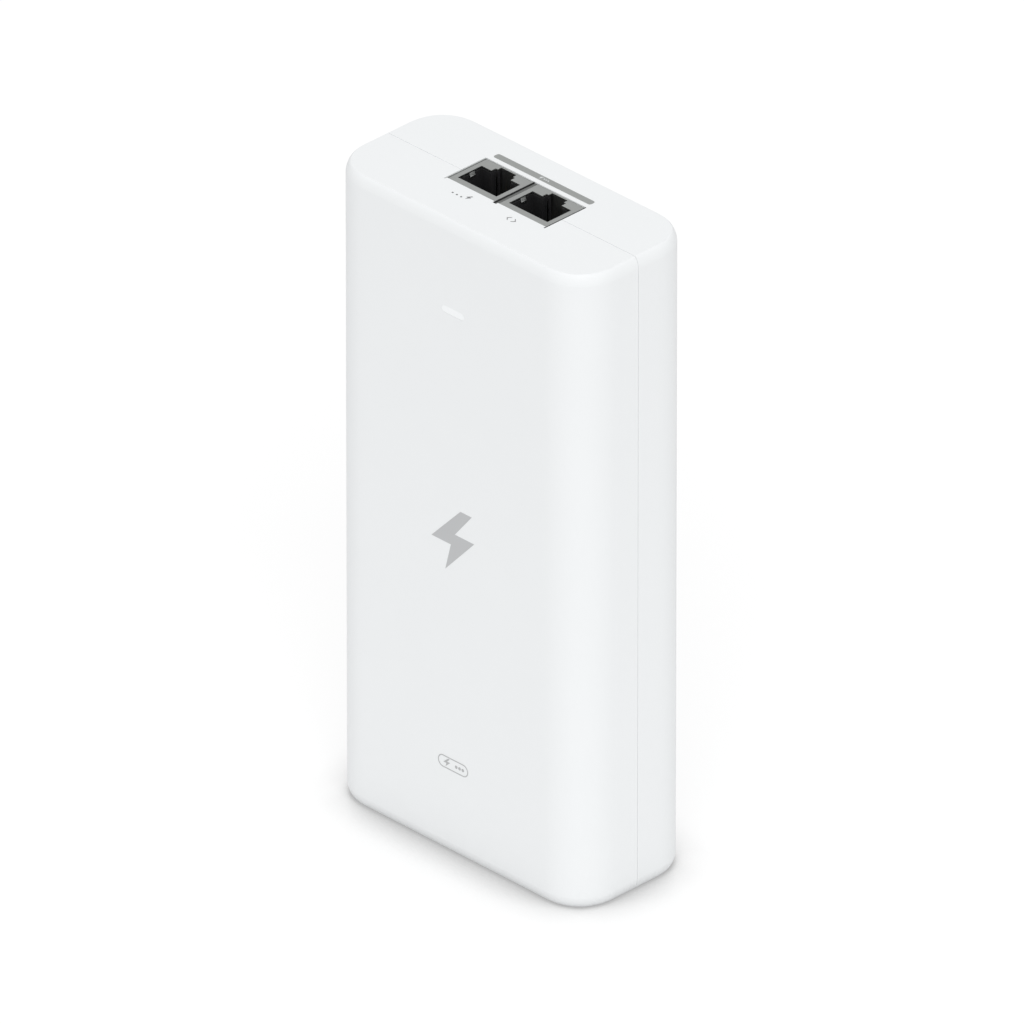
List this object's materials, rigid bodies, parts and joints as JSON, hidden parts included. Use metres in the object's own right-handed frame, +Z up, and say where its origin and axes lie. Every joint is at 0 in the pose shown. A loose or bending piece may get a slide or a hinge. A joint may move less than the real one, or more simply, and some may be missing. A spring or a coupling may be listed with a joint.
{
  "type": "poe injector",
  "caption": "Slim upright power injector: white two-part case, two shielded network sockets in the top end, a status light in front and a mains inlet below.",
  "frame": {"origin": "the middle of the bottom end, in the plane that the injector stands on", "axes": "+Z up to the end with the network sockets, -Y out of the front with the status light, +X to the right seen from the front"},
  "size_m": [0.08, 0.0364, 0.1625],
  "materials": {
    "case_white": "smooth satin moulded white plastic",
    "label_film": "plain printed film without text",
    "socket_metal": "nickel-plated sheet, satin",
    "socket_black": "black moulded plastic",
    "contact_gold": "gold-plated spring wire",
    "light_window": "milky translucent plastic",
    "led_yellow": "clear resin over phosphor",
    "inlet_black": "black moulded plastic",
    "pin_metal": "nickel-plated brass",
    "lead_brown": "insulated wire",
    "lead_blue": "insulated wire",
    "lead_green": "insulated wire",
    "board_green": "solder mask over glass-fibre board",
    "sheet_cream": "insulating film",
    "screw_steel": "zinc-plated steel",
    "moulded_black": "moulded component body",
    "moulded_white": "moulded component body",
    "disc_blue": "dipped coating over a ceramic disc",
    "film_yellow": "boxed film capacitor",
    "ferrite": "sintered ferrite",
    "winding_copper": "enamelled copper wire",
    "sleeve_dark": "shrink sleeve over an aluminium can",
    "heatsink_metal": "bare sheet",
    "tape_yellow": "polyester tape"
  },
  "bodies": {
    "root": {"front_shell": "case_white", "rear_shell": "case_white", "rating_label": "label_film", "poe_jack_shield": "socket_metal", "poe_jack_housing": "socket_black", "poe_jack_contacts": "contact_gold", "data_jack_shield": "socket_metal", "data_jack_housing": "socket_black", "data_jack_contacts": "contact_gold", "light_pipe": "light_window", "status_led": "led_yellow", "inlet_housing": "inlet_black", "inlet_pin_line": "pin_metal", "inlet_pin_neutral": "pin_metal", "inlet_pin_earth": "pin_metal", "line_lead": "lead_brown", "neutral_lead": "lead_blue", "earth_lead": "lead_green", "main_board": "board_green", "insulation_sheet": "sheet_cream", "board_screw_1": "screw_steel", "board_screw_2": "screw_steel", "board_screw_3": "screw_steel", "board_screw_4": "screw_steel", "fuse": "moulded_black", "varistor": "disc_blue", "film_capacitor": "film_yellow", "choke_core": "ferrite", "choke_winding_line": "winding_copper", "choke_winding_neutral": "winding_copper", "bridge_rectifier": "moulded_black", "bulk_capacitor": "sleeve_dark", "primary_heatsink": "heatsink_metal", "switching_transistor": "moulded_black", "transformer_core": "ferrite", "transformer_bobbin": "moulded_black", "transformer_winding": "tape_yellow", "safety_capacitor": "disc_blue", "optocoupler": "moulded_white", "controller_chip": "moulded_black", "output_heatsink": "heatsink_metal", "output_rectifier": "moulded_black", "output_capacitor_1": "sleeve_dark", "output_capacitor_2": "sleeve_dark", "output_capacitor_3": "sleeve_dark", "output_choke": "ferrite", "poe_lan_transformer": "moulded_black", "data_lan_transformer": "moulded_black", "supply_controller": "moulded_black"}
  },
  "joints": []
}
